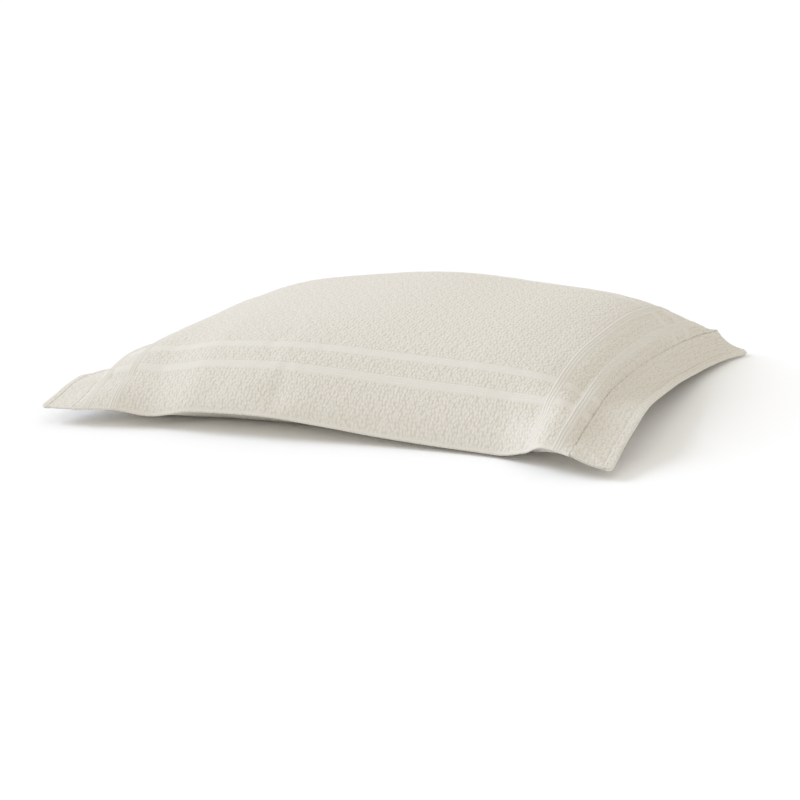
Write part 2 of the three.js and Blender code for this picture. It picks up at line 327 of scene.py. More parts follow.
def face_height(s, t, sizes):
    """Height of the filled face over flat cloth places s and t. It is the seam patch, a crown that
    falls to the seams as one less a power of the way out, a lip that falls in the same way but
    close to the seams, less soft bell-shaped hollows."""
    u = 2 * s / sizes.cloth_length
    v = 2 * t / sizes.cloth_width
    right, left, front, back = sizes.fullness
    ends = 1 - np.abs(u) ** np.where(u > 0, right, left)
    sides = 1 - np.abs(v) ** np.where(v > 0, back, front)
    lean = 1 + sizes.lean_right * u + sizes.lean_back * v
    right, left, front, back = sizes.lip
    along_ends = (left + (right - left) * (u + 1) / 2) * (1 - np.abs(v) ** LIP_FADE)
    along_sides = (front + (back - front) * (v + 1) / 2) * (1 - np.abs(u) ** LIP_FADE)
    tuck = (1 - np.abs(u) ** sizes.lip_tuck) * (1 - np.abs(v) ** sizes.lip_tuck)
    height = seam_height(u, v) + sizes.crown * ends * sides * lean + (along_ends + along_sides) * tuck
    from_ends = sizes.cloth_length / 2 - np.abs(s)
    from_sides = sizes.cloth_width / 2 - np.abs(t)
    inside = np.clip(from_ends / sizes.hollow_edge, 0, 1) * np.clip(from_sides / sizes.hollow_edge, 0, 1)
    for right, back, wide, long, depth in zip(*HOLLOWS.values()):
        bell = np.exp(-(((s - right) / wide) ** 2) - ((t - back) / long) ** 2)
        height = height - depth * inside * bell
    return height


def plan_places(lines, heights):
    """Plan places of the cloth along the first axis: each stretch of cloth keeps its length, so its
    plan length is the root of one less its squared slope. They start at the cloth's middle line."""
    cloth = np.diff(lines)[:, None]
    slope = np.clip(np.diff(heights, axis=0) / cloth, -STEEPEST_SLOPE, STEEPEST_SLOPE)
    plan = np.cumsum(cloth * np.sqrt(1 - slope**2), axis=0)
    places = np.concatenate([np.zeros((1, heights.shape[1])), plan])
    return places - places[np.searchsorted(lines, 0)]


def face_points(s_lines, t_lines, sizes):
    """The face's grid of points over the flat cloth's grid, before its relief."""
    heights = face_height(s_lines[:, None], t_lines[None], sizes)
    right = plan_places(s_lines, heights)
    back = plan_places(t_lines, heights.T).T
    return np.stack([right, back, heights], axis=-1)


def cloth_lines(half, centres, step):
    """Grid lines from -half to half: even steps, with closer lines over the bands."""
    offsets = np.array(BAND_STEPS)
    close = np.concatenate([centre + side * offsets for centre in centres for side in (-1, 1)])
    fixed = np.unique(np.round(np.concatenate([[-half, 0, half], close, -close]), 6))
    lines = [fixed[:1]]
    for start, end in zip(fixed[:-1], fixed[1:]):
        cells = math.ceil((end - start) / step)
        lines.append(np.linspace(start, end, cells + 1)[1:])
    return np.concatenate(lines)


def band_centres(sizes):
    """Places of the bands from the middle of the cloth, on the ends and on the long sides."""
    ends = [sizes.cloth_length / 2 + sizes.flange_width - inset for inset in BAND_INSETS]
    sides = [sizes.cloth_width / 2 - inset for inset in BAND_INSETS]
    return ends, sides


def band_relief(s, t, sizes, weave):
    """Each band is three ribs with two grooves between them, a raised cosine of three periods.
    The end bands are ribbed, the side bands have the same lines woven low. Returns the ribs'
    height and the share of plain cloth, as arrays."""
    ends, sides = band_centres(sizes)
    ribs = np.zeros(np.broadcast(s, t).shape)
    plain = np.zeros(ribs.shape)
    for place, centres, rise in ((np.abs(t), sides, weave.line_rise), (np.abs(s), ends, weave.rib_rise)):
        for centre in centres:
            off = np.abs(place - centre) / weave.band_half + 0 * ribs
            over = 1 - smooth_step(1, BAND_SOFT_EDGE, off)
            rib = rise * (0.5 + 0.5 * np.cos(3 * np.pi * off)) * (off < 1)
            ribs = np.where(over > 0, np.maximum(rib, ribs * (off > 1)), ribs)
            plain = np.maximum(plain, over)
    return ribs, plain


def pebbles(s, t, weave):
    """Height of the pebbles, 0 to 1. Their centres stand in staggered rows and stray by sines; each
    pebble is a dome, one less the squared way out in its ellipse, and the highest dome counts."""
    x, y = np.broadcast_arrays(s / weave.pebble_wide, t / weave.pebble_long)
    height = np.zeros(x.shape)
    for row in (np.floor(y - 0.5), np.floor(y - 0.5) + 1):
        half = 0.5 * (row % 2)
        for column in (np.floor(x - half), np.floor(x - half) + 1):
            turns = (a * column + b * row for a, b, _ in STRAY.values())
            waves = (np.sin(turn + STRAY_WARP[1] * np.sin(STRAY_WARP[0] * turn)) for turn in turns)
            along, across, size = (wave * stray[2] for wave, stray in zip(waves, STRAY.values()))
            right = (x - column - half - along) / PEBBLE_REACH[0]
            back = (y - row - 0.5 - across) / PEBBLE_REACH[1]
            dome = np.clip(1 - right**2 - back**2, 0, 1)
            height = np.maximum(height, dome * (1 - STRAY["size"][2] + size))
    return height


def grid_normals(points):
    """Unit normals of a grid of points, from the cross product of its two directions."""
    along = np.gradient(points, axis=0)
    across = np.gradient(points, axis=1)
    normal = np.cross(along, across)
    return normal / np.linalg.norm(normal, axis=-1, keepdims=True)


def outer_loop(columns, rows):
    """Indices of a grid's outer loop, counter-clockwise from above."""
    index = np.arange(columns * rows).reshape(columns, rows)
    return np.concatenate([index[:-1, 0], index[-1, :-1], index[:0:-1, -1], index[0, :0:-1]])


def seam_walls(columns, rows):
    """Indices of the body's quads that close its face downwards at the two end seams."""
    first = (columns - 1) * (rows - 1)
    right = first + columns - 1 + np.arange(rows - 1)
    return np.concatenate([right, right + columns - 1 + rows - 1])


def grid_quads(index):
    """Quads of a grid of vertex indices, counter-clockwise seen from its first axis cross its second."""
    corners = (index[:-1, :-1], index[1:, :-1], index[1:, 1:], index[:-1, 1:])
    return np.stack([corner.ravel() for corner in corners], axis=-1)


def ring_quads(rings):
    """Quads between successive closed rings, given as rows of indices from the upper one down."""
    upper, lower = rings[:-1], rings[1:]
    corners = (lower, np.roll(lower, -1, axis=1), np.roll(upper, -1, axis=1), upper)
    return np.stack([corner.ravel() for corner in corners], axis=-1)


def body_surface(face, top, lift, rim_push):
    """Closes a face grid with a rounded seam and an underside: rings inside the seam loop, whose
    height falls in an S to the surface, and a flat middle. Returns points, quads, the last
    fan's triangles, and how far in each point is, from 0 on the face to 1 at the flat middle."""
    columns, rows = face.shape[:2]
    loop = outer_loop(columns, rows)
    seam = face.reshape(-1, 3)[loop]
    push = rim_push.reshape(-1)[loop]
    out = np.stack([np.zeros(len(loop)), np.sign(seam[:, 1]) * push, np.zeros(len(loop))], axis=-1)
    rings = [seam + out]
    inward = [0]
    for way in np.linspace(0, 1, UNDERSIDE_RINGS + 1):
        spread = 1 - (1 - REST_SHARE) * way
        height = (seam[:, 2] - lift) * (1 - smooth_step(0, 1, way))
        rings.append(np.column_stack([seam[:, :2] * spread, height]))
        inward.append(way)
    points = np.concatenate([top.reshape(-1, 3), *rings, [[0, 0, 0]]])
    first = columns * rows
    ring_index = first + np.arange(len(rings) * len(loop)).reshape(len(rings), len(loop))
    quads = np.concatenate([
        grid_quads(np.arange(first).reshape(columns, rows)),
        ring_quads(np.concatenate([loop[None], ring_index])),
    ])
    last = ring_index[-1]
    centre = np.full(len(last), len(points) - 1)
    fan = np.stack([centre, np.roll(last, -1), last], axis=-1)
    depth = np.concatenate([np.zeros(first), np.repeat(inward, len(loop)), [1]])
    return points, quads, fan, depth


def make_mesh(name, points, quads, triangles=(), walls=()):
    """A smooth-shaded mesh from whole arrays of points, quads and triangles. The quads listed as
    walls are shaded flat, which keeps them out of the shading of the faces beside them."""
    triangles = np.array(triangles, int).reshape(-1, 3)
    corners = np.concatenate([quads.ravel(), triangles.ravel()])
    totals = np.concatenate([np.full(len(quads), 4), np.full(len(triangles), 3)])
    mesh = bpy.data.meshes.new(name)
    mesh.vertices.add(len(points))
    mesh.vertices.foreach_set("co", points.astype(np.float32).ravel())
    mesh.loops.add(len(corners))
    mesh.loops.foreach_set("vertex_index", corners.astype(np.int32))
    mesh.polygons.add(len(totals))
    mesh.polygons.foreach_set("loop_start", (np.cumsum(totals) - totals).astype(np.int32))
    smooth = np.ones(len(totals), bool)
    smooth[np.array(walls, int)] = False
    mesh.polygons.foreach_set("use_smooth", smooth)
    mesh.update(calc_edges=True)
    if mesh.validate():
        raise RuntimeError(f"{name} has broken faces")
    return mesh


def add_piece(name, mesh):
    """An object at the origin for a finished mesh."""
    piece = bpy.data.objects.new(name, mesh)
    bpy.context.scene.collection.objects.link(piece)
    return piece


def set_attribute(mesh, name, values):
    """A number for each vertex that a material reads."""
    attribute = mesh.attributes.new(name, "FLOAT", "POINT")
    attribute.data.foreach_set("value", values.astype(np.float32).ravel())


def set_cloth_uv(mesh, cloth, under):
    """Lays the cloth's own flat places out as the UV map; the underside lies one tile further up."""
    corners = np.zeros(len(mesh.loops), np.int32)
    mesh.loops.foreach_get("vertex_index", corners)
    totals = np.zeros(len(mesh.polygons), np.int32)
    mesh.polygons.foreach_get("loop_total", totals)
    corner_under = np.repeat(under, totals)
    places = cloth[corners] / UV_SPAN + 0.5
    places[:, 1] += corner_under
    layer = mesh.uv_layers.new(name="cloth")
    layer.data.foreach_set("uv", places.astype(np.float32).ravel())


def resample(values, from_lines, to_lines):
    """Carries values from one set of lines to another along the first axis, by Catmull-Rom cubics."""
    row = np.clip(np.searchsorted(from_lines, to_lines, side="right") - 1, 0, len(from_lines) - 2)
    part = (to_lines - from_lines[row]) / (from_lines[row + 1] - from_lines[row])
    part = part.reshape(-1, *[1] * (values.ndim - 1))
    before = values[np.clip(row - 1, 0, None)]
    here, there = values[row], values[row + 1]
    after = values[np.clip(row + 2, None, len(from_lines) - 1)]
    slope_here, slope_there = (there - before) / 2, (after - here) / 2
    rise = part * part * (3 - 2 * part)
    return (
        here * (1 - rise) + there * rise
        + slope_here * part * (1 - part) ** 2 - slope_there * part**2 * (1 - part)
    )


def settled_wrinkles(sizes):
    """Lets a coarse cover settle over its filling's pressure and returns the wrinkles, as moves on
    its grid and the grid's lines. The cover's cloth is a little larger than its shape."""
    half_s, half_t = sizes.cloth_length / 2, sizes.cloth_width / 2
    s_lines = np.linspace(-half_s, half_s, 2 * round(half_s / SETTLE_STEP) + 1)
    t_lines = np.linspace(-half_t, half_t, 2 * round(half_t / SETTLE_STEP) + 1)
    face = face_points(s_lines, t_lines, sizes)
    lift = sizes.seam_thickness / 2
    top = face + (0, 0, lift)
    points, quads, fan, _ = body_surface(face, top, lift, np.zeros(face.shape[:2]))
    cover = add_piece("settling_cover", make_mesh("settling_cover", points, quads, fan))
    count = len(s_lines) * len(t_lines)
    fixed = np.concatenate([outer_loop(len(s_lines), len(t_lines)), np.arange(count, len(points))])
    cover.vertex_groups.new(name="held").add(fixed.tolist(), 1, "ADD")
    cloth = cover.modifiers.new("settle", "CLOTH")
    for name, value in SETTLE_CLOTH.items():
        setattr(cloth.settings, name, value)
    cloth.settings.effector_weights.gravity = 0
    cloth.collision_settings.use_collision = False
    scene = bpy.context.scene
    for number in range(1, SETTLE_FRAMES + 1):
        scene.frame_set(number)
    depsgraph = bpy.context.evaluated_depsgraph_get()
    settled = cover.evaluated_get(depsgraph).data
    after = np.zeros(len(settled.vertices) * 3, np.float32)
    settled.vertices.foreach_get("co", after)
    moved = after.reshape(-1, 3)[:count].reshape(face.shape) - top
    scene.frame_set(1)
    bpy.data.objects.remove(cover)
    return moved, s_lines, t_lines


def without_swell(moves):
    """Moves less their own wide average, so that wrinkles stay and the overall swelling goes. The
    average is a run of passes, each the mean of a move taken twice and its two neighbours."""
    soft = moves.copy()
    for axis in (0, 1):
        place = np.arange(soft.shape[axis])
        before, after = np.maximum(place - 1, 0), np.minimum(place + 1, place[-1])
        for _ in range(SWELL_PASSES):
            soft = (np.take(soft, before, axis) + 2 * soft + np.take(soft, after, axis)) / 4
    wrinkles = moves - soft
    length = np.linalg.norm(wrinkles, axis=-1, keepdims=True)
    return wrinkles * np.minimum(1, SETTLE_CAP / np.maximum(length, 1e-9))


def add_node(tree, kind, inputs=(), **settings):
    """A node with its settings, and its inputs set by name or linked from another node's output."""
    node = tree.nodes.new(kind)
    for name, value in settings.items():
        setattr(node, name, value)
    for name, value in dict(inputs).items():
        if isinstance(value, bpy.types.NodeSocket):
            tree.links.new(value, node.inputs[name])
        else:
            node.inputs[name].default_value = value
    return node


def new_group(name, inputs, output):
    """A shader node group, its input sockets by name and the socket that takes its result. The
    inputs are lists of names under their kind, and the output is one name and kind."""
    group = bpy.data.node_groups.new(name, "ShaderNodeTree")
    for kind, sockets in inputs.items():
        for socket in sockets:
            group.interface.new_socket(socket, in_out="INPUT", socket_type=f"NodeSocket{kind}")
    group.interface.new_socket(output[0], in_out="OUTPUT", socket_type=f"NodeSocket{output[1]}")
    given = group.nodes.new("NodeGroupInput").outputs
    return group, given, group.nodes.new("NodeGroupOutput").inputs[output[0]]


def math_node(tree, operation, first, second=0.0):
    """The result of one math node; a value is a number or another node's output."""
    return add_node(tree, "ShaderNodeMath", {0: first, 1: second}, operation=operation).outputs[0]


def one_pebble_group():
    """Height of the pebble a given number of columns and rows off the place, as in pebbles()."""
    group, given, height = new_group(
        "One pebble", {"Float": ("Along", "Across", "Columns off", "Rows off")}, ("Height", "Float")
    )
    maths = partial(math_node, group)
    x, y = given["Along"], given["Across"]
    row = maths("ADD", maths("FLOOR", maths("SUBTRACT", y, 0.5)), given["Rows off"])
    half = maths("MULTIPLY", maths("FLOORED_MODULO", row, 2.0), 0.5)
    column = maths("ADD", maths("FLOOR", maths("SUBTRACT", x, half)), given["Columns off"])
    strays = []
    for by_column, by_row, share in STRAY.values():
        turn = maths("ADD", maths("MULTIPLY", column, by_column), maths("MULTIPLY", row, by_row))
        warp = maths("MULTIPLY", maths("SINE", maths("MULTIPLY", turn, STRAY_WARP[0])), STRAY_WARP[1])
        strays.append(maths("MULTIPLY", maths("SINE", maths("ADD", turn, warp)), share))
    along, across, size = strays
    centre_x = maths("ADD", maths("ADD", column, half), along)
    centre_y = maths("ADD", maths("ADD", row, 0.5), across)
    right = maths("DIVIDE", maths("SUBTRACT", x, centre_x), PEBBLE_REACH[0])
    back = maths("DIVIDE", maths("SUBTRACT", y, centre_y), PEBBLE_REACH[1])
    away = maths("ADD", maths("MULTIPLY", right, right), maths("MULTIPLY", back, back))
    dome = maths("MAXIMUM", maths("SUBTRACT", 1.0, away), 0.0)
    group.links.new(maths("MULTIPLY", dome, maths("ADD", size, 1 - STRAY["size"][2])), height)
    return group


def pebble_group(weave):
    """Pebbles in the shader: the highest of the four pebbles nearest to a place on the flat cloth,
    which is given in metres."""
    group, given, height = new_group("Cloth pebbles", {"Vector": ("Cloth place",)}, ("Height", "Float"))
    place = add_node(group, "ShaderNodeSeparateXYZ", {0: given["Cloth place"]})
    x = math_node(group, "DIVIDE", place.outputs["X"], weave.pebble_wide)
    y = math_node(group, "DIVIDE", place.outputs["Y"], weave.pebble_long)
    pebble = one_pebble_group()
    highest = 0.0
    for columns in (0.0, 1.0):
        for rows in (0.0, 1.0):
            one = add_node(
                group, "ShaderNodeGroup",
                {"Along": x, "Across": y, "Columns off": columns, "Rows off": rows}, node_tree=pebble,
            )
            highest = math_node(group, "MAXIMUM", one.outputs[0], highest)
    group.links.new(highest, height)
    return group


def yarn_group():
    """Fine yarns that cross: noise drawn out along the cloth and across it, added together."""
    group, given, height = new_group("Cotton yarns", {"Vector": ("Cloth place",)}, ("Height", "Float"))
    heights = []
    for stretch in YARN_STRETCHES:
        drawn = add_node(
            group, "ShaderNodeVectorMath", {0: given["Cloth place"], 1: stretch}, operation="MULTIPLY"
        )
        noise = add_node(
            group, "ShaderNodeTexNoise",
            {"Vector": drawn.outputs[0], "Scale": 1.0, "Detail": 2.0, "Roughness": 0.6},
        )
        heights.append(noise.outputs["Fac"])
    group.links.new(math_node(group, "ADD", *heights), height)
    return group


def stitch_group():
    """A row of stitches at a given distance from the cloth's middle: 1 in the middle of each stitch,
    falling off beside the row as a parabola and along it as a raised cosine."""
    group, given, depth = new_group(
        "Hem stitches",
        {"Vector": ("Cloth place",), "Float": ("Row", "Stitch", "Half width")},
        ("Depth", "Float"),
    )
    maths = partial(math_node, group)
    place = add_node(group, "ShaderNodeSeparateXYZ", {0: given["Cloth place"]})
    off = maths("SUBTRACT", maths("ABSOLUTE", place.outputs["X"]), given["Row"])
    off = maths("DIVIDE", off, given["Half width"])
    beside = maths("MAXIMUM", maths("SUBTRACT", 1.0, maths("MULTIPLY", off, off)), 0.0)
    turn = maths("MULTIPLY", maths("DIVIDE", place.outputs["Y"], given["Stitch"]), 2 * math.pi)
    along = maths("ADD", maths("MULTIPLY", maths("COSINE", turn), 0.5), 0.5)
    group.links.new(maths("MULTIPLY", beside, along), depth)
    return group


def tone_group():
    """Cloth colour: painted shade in the dips between the pebbles, lifting to the cloth's own colour by
    the pebbles' height, then to the plain bands, and a little lighter or darker with the yarns."""
    group, given, made = new_group(
        "Cloth tone",
        {"Color": ("Cloth", "Valley shade", "Plain"), "Float": ("Pebble", "Band", "Yarns")},
        ("Colour", "Color"),
    )
    low, high = PEBBLE_TONE
    raised = add_node(
        group, "ShaderNodeMapRange", {"Value": given["Pebble"], "From Min": low, "From Max": high}
    )
    # The mix starts from the painted shade between the pebbles
    colour = given["Valley shade"]
    for mask, target in ((raised.outputs[0], "Cloth"), (given["Band"], "Plain")):
        mix = add_node(group, "ShaderNodeMix", data_type="RGBA")
        group.links.new(mask, mix.inputs["Factor"])
        group.links.new(colour, mix.inputs[6])
        group.links.new(given[target], mix.inputs[7])
        colour = mix.outputs[2]
    spread = add_node(group, "ShaderNodeMapRange", {"Value": given["Yarns"], **YARN_TONE})
    shaded = add_node(group, "ShaderNodeVectorMath", {0: colour, 1: spread.outputs[0]}, operation="MULTIPLY")
    group.links.new(shaded.outputs[0], made)
    return group


def relief_group():
    """Height of the cloth's relief for a bump, in metres: pebbles where the cloth isn't plain, and
    the yarns, less the stitches."""
    sockets = ("Pebble", "Band", "Yarns", "Pebble rise", "Yarn rise", "Stitch", "Stitch depth")
    group, given, height = new_group("Cloth relief", {"Float": sockets}, ("Height", "Float"))
    maths = partial(math_node, group)
    rough = maths("SUBTRACT", 1.0, given["Band"])
    raised = maths("MULTIPLY", maths("MULTIPLY", given["Pebble"], rough), given["Pebble rise"])
    yarns = maths("MULTIPLY", given["Yarns"], given["Yarn rise"])
    stitches = maths("MULTIPLY", given["Stitch"], given["Stitch depth"])
    group.links.new(maths("SUBTRACT", maths("ADD", raised, yarns), stitches), height)
    return group


def cloth_groups(weave):
    """The shader groups that both cloth materials share."""
    found = bpy.data.node_groups.get
    return (
        found("Cotton yarns") or yarn_group(),
        found("Cloth pebbles") or pebble_group(weave),
        found("Cloth tone") or tone_group(),
        found("Cloth relief") or relief_group(),
        found("Hem stitches") or stitch_group(),
    )


def cloth_material(name, colours, weave, pebble_share, stitch_row=None):
    """Matt ivory cotton: pebbles, yarns and a row of stitches from the cloth's own UV map, plain
    strips from the mesh. The row is a distance from the cloth's middle, or None."""
    yarns, pebbles_made, tone, relief, stitches = cloth_groups(weave)
    material = bpy.data.materials.new(name)
    material.use_nodes = True
    tree = material.node_tree
    tree.nodes.clear()
    flat = add_node(tree, "ShaderNodeUVMap", uv_map="cloth")
    centred = add_node(
        tree, "ShaderNodeVectorMath", {0: flat.outputs[0], 1: (0.5, 0.5, 0)}, operation="SUBTRACT"
    )
    metres = add_node(
        tree, "ShaderNodeVectorMath", {0: centred.outputs[0], 1: (UV_SPAN, UV_SPAN, 0)}, operation="MULTIPLY"
    )
    place = {"Cloth place": metres.outputs[0]}
    yarn = add_node(tree, "ShaderNodeGroup", place, node_tree=yarns)
    pebble = add_node(tree, "ShaderNodeGroup", place, node_tree=pebbles_made)
    band = add_node(tree, "ShaderNodeAttribute", attribute_name="band")
    masks = {"Pebble": pebble.outputs[0], "Band": band.outputs["Fac"], "Yarns": yarn.outputs[0]}
    # The darker colour for the dips between the pebbles is painted shade
    paints = {"Cloth": (*colours.cloth, 1), "Valley shade": (*colours.valley_shade, 1), "Plain": (*colours.band, 1)}
    shade = add_node(tree, "ShaderNodeGroup", {**masks, **paints}, node_tree=tone)
    rises = {"Pebble rise": weave.pebble_rise * pebble_share, "Yarn rise": weave.yarn_rise}
    if stitch_row:
        stitch = {"Row": stitch_row, "Stitch": weave.stitch_long, "Half width": weave.stitch_long / 3}
        row = add_node(tree, "ShaderNodeGroup", {**place, **stitch}, node_tree=stitches)
        rises |= {"Stitch": row.outputs[0], "Stitch depth": weave.stitch_depth}
    height = add_node(tree, "ShaderNodeGroup", {**masks, **rises}, node_tree=relief)
    bump = add_node(
        tree, "ShaderNodeBump", {"Height": height.outputs["Height"], "Strength": 1.0, "Distance": 1.0}
    )
    cotton = add_node(tree, "ShaderNodeBsdfPrincipled", {
        "Base Color": shade.outputs["Colour"],
        "Normal": bump.outputs["Normal"],
        "Roughness": ROUGHNESS[name],
        "Specular IOR Level": 0.25,
        "Sheen Weight": 0.15,
        "Sheen Roughness": 0.6,
    })
    add_node(tree, "ShaderNodeOutputMaterial", {"Surface": cotton.outputs["BSDF"]})
    return material


def frame_shift(face):
    """How far the cloth's middle lies from the origin, so that the face is centred in its node."""
    low, high = (np.array(corner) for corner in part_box("body"))
    middle = (low + high) / 2
    own = (face.reshape(-1, 3).min(axis=0) + face.reshape(-1, 3).max(axis=0)) / 2
    return np.array([middle[0] - own[0], middle[1] - own[1], 0])


def fine_lines(sizes):
    """The face's fine grid lines along the cloth and across it."""
    ends, sides = band_centres(sizes)
    return (
        cloth_lines(sizes.cloth_length / 2, ends, FACE_STEPS[0]),
        cloth_lines(sizes.cloth_width / 2, sides, FACE_STEPS[1]),
    )


def add_wrinkles(face, s_lines, t_lines, sizes, weave):
    """The fine face with the settled cover's wrinkles carried over to it."""
    moved, coarse_s, coarse_t = settled_wrinkles(sizes)
    wrinkles = without_swell(moved) * weave.settle_share
    wrinkles = resample(wrinkles, coarse_s, s_lines)
    wrinkles = resample(wrinkles.swapaxes(0, 1), coarse_t, t_lines).swapaxes(0, 1)
    return face + wrinkles


def chosen(scene):
    """The sizes, the weave and the colours that the scene holds."""
    return scene.sham_sizes, scene.sham_weave, scene.sham_colours


class SHAM_OT_body(bpy.types.Operator):
    """Make the filled body of the sham"""

    bl_idname = "sham.body"
    bl_label = "Sham body"

    def execute(self, context):
        sizes, weave, colours = chosen(context.scene)
        s_lines, t_lines = fine_lines(sizes)
        face = face_points(s_lines, t_lines, sizes)
        shift = frame_shift(face)
        face = add_wrinkles(face, s_lines, t_lines, sizes, weave)
        s, t = s_lines[:, None], t_lines[None]
        ribs, plain = band_relief(s, t, sizes, weave)
        beside = sizes.cloth_width / 2 - np.abs(t)
        strip = smooth_step(*STRIP_FADE, (beside + 0 * s) / weave.edge_strip)
        dome = pebbles(s, t, weave)
        relief = MESH_SHARE * weave.pebble_rise * (dome - 0.5) * (1 - plain) * strip + ribs
        top = face + grid_normals(face) * relief[..., None]
        lift = sizes.seam_thickness / 2
        top[..., 2] += lift
        rim_push = np.where(beside < 1e-6, RIM_PUSH, 0) + 0 * s
        points, quads, fan, depth = body_surface(face, top, lift, rim_push)
        columns, rows = face.shape[:2]
        mesh = make_mesh("sham_body", points + shift, quads, fan, seam_walls(columns, rows))
        flat = np.stack(np.broadcast_arrays(s, t), axis=-1).reshape(-1, 2)
        ring = flat[outer_loop(columns, rows)]
        rings = [ring * (1 - (1 - REST_SHARE) * way) for way in depth[len(flat):-1:len(ring)]]
        under = np.arange(len(mesh.polygons)) >= (columns - 1) * (rows - 1)
        set_cloth_uv(mesh, np.concatenate([flat, *rings, [[0, 0]]]), under)
        band = np.zeros(len(points))
        band[:len(flat)] = np.maximum(plain, 1 - strip).ravel()
        set_attribute(mesh, "band", band)
        mesh.materials.append(cloth_material("matelasse", colours, weave, weave.bump_share))
        body = add_piece("sham_body", mesh)
        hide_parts("body")
        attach(body, "root")
        return {"FINISHED"}


def flange_width(t, sizes):
    """Width of a flange along its seam, less where a quarter circle rounds its corners."""
    past = np.clip(sizes.corner_radius - (sizes.cloth_width / 2 - np.abs(t)), 0, None)
    return sizes.flange_width - sizes.corner_radius + np.sqrt(sizes.corner_radius**2 - past**2)


def quarter_round(distance):
    """Height of a quarter circle over the distance from its foot, as a share; 1 past its reach."""
    return np.sqrt(1 - (1 - np.clip(distance / FOLD_ROUND, 0, 1)) ** 2)


def fold_height(side, reach, t):
    """Height of a flange's soft folds: ridges along lines on the flat cloth, each the bell of the
    distance from its line."""
    height = np.zeros(reach.shape)
    for end, reach_0, back_0, reach_1, back_1, wide, rise in zip(*FLANGE_FOLDS.values()):
        if end != side:
            continue
        along = np.array([reach_1 - reach_0, back_1 - back_0])
        off = np.stack([reach - reach_0, np.broadcast_to(t - back_0, reach.shape)], axis=-1)
        part = np.clip(off @ along / (along @ along), 0, 1)
        away = np.linalg.norm(off - part[..., None] * along, axis=-1)
        fade = smooth_step(0, FOLD_ENDS[0], part) * (1 - smooth_step(FOLD_ENDS[1], 1, part))
        height += rise * fade * np.exp(-((away / wide) ** 2))
    return height


def flange_section(from_fold, from_end, sizes):
    """Half the thickness of a flange and its share of pebbled cloth, by the distances from the fold
    of its hem and from its end. A ramp leads up to the thicker hem, the stitched groove beside it is
    a bell, and the edges close in quarter circles."""
    hem = 1 - smooth_step(sizes.hem_width - HEM_RAMP, sizes.hem_width + HEM_RAMP, from_fold)
    groove = np.exp(-((from_fold - sizes.hem_width) / HEM_GROOVE[0]) ** 2)
    thick = (sizes.seam_thickness + (sizes.hem_thickness - sizes.seam_thickness) * hem) / 2
    end_round = END_THICKNESS + (1 - END_THICKNESS) * quarter_round(from_end)
    thick = (thick - HEM_GROOVE[1] * groove) * quarter_round(from_fold) * end_round
    inside = smooth_step(*PLAIN_EDGE, from_fold) * smooth_step(*PLAIN_EDGE, from_end)
    return thick, inside * (1 - PLAIN_GROOVE * groove)


def close_layers(columns, count):
    """Joins the upper and the lower layer of one grid, whose points follow each other. They share
    the upper one's points at the fold, and quads close the seam and both ends. Returns the quads,
    the triangles at the fold's two tips and the indices of the quads that close the seam."""
    upper = np.arange(columns * count).reshape(columns, count)
    lower = upper + columns * count
    lower[-1] = upper[-1]
    ring = np.concatenate([upper, lower[::-1][1:], upper[:1]])
    front, back = (grid_quads(np.stack([upper[:, k], lower[:, k]], axis=-1)) for k in (0, -1))
    back = back[:, ::-1]
    quads = np.concatenate([grid_quads(ring), front[:-1], back[:-1]])
    triangles = np.array([list(dict.fromkeys(end[-1].tolist())) for end in (front, back)])
    return quads, triangles, (2 * columns - 2) * (count - 1) + np.arange(count - 1)


def flange_centre(side, table, foot, reach, width, t, sizes):
    """The surface between a flange's two layers. The line from the seam to each place droops by the
    table at the hem and more towards the seam, so that the flange flattens outwards."""
    droop = np.radians(read_table(table, "droop", 2 * t / sizes.cloth_width))
    chord = droop * (1 + FLANGE_CURL * (1 - reach / width))
    return np.stack([
        foot[:, 0] + side * reach * np.cos(chord),
        np.broadcast_to(foot[:, 1], reach.shape),
        foot[:, 2] - reach * np.sin(chord) + fold_height(side, reach, t),
    ], axis=-1)


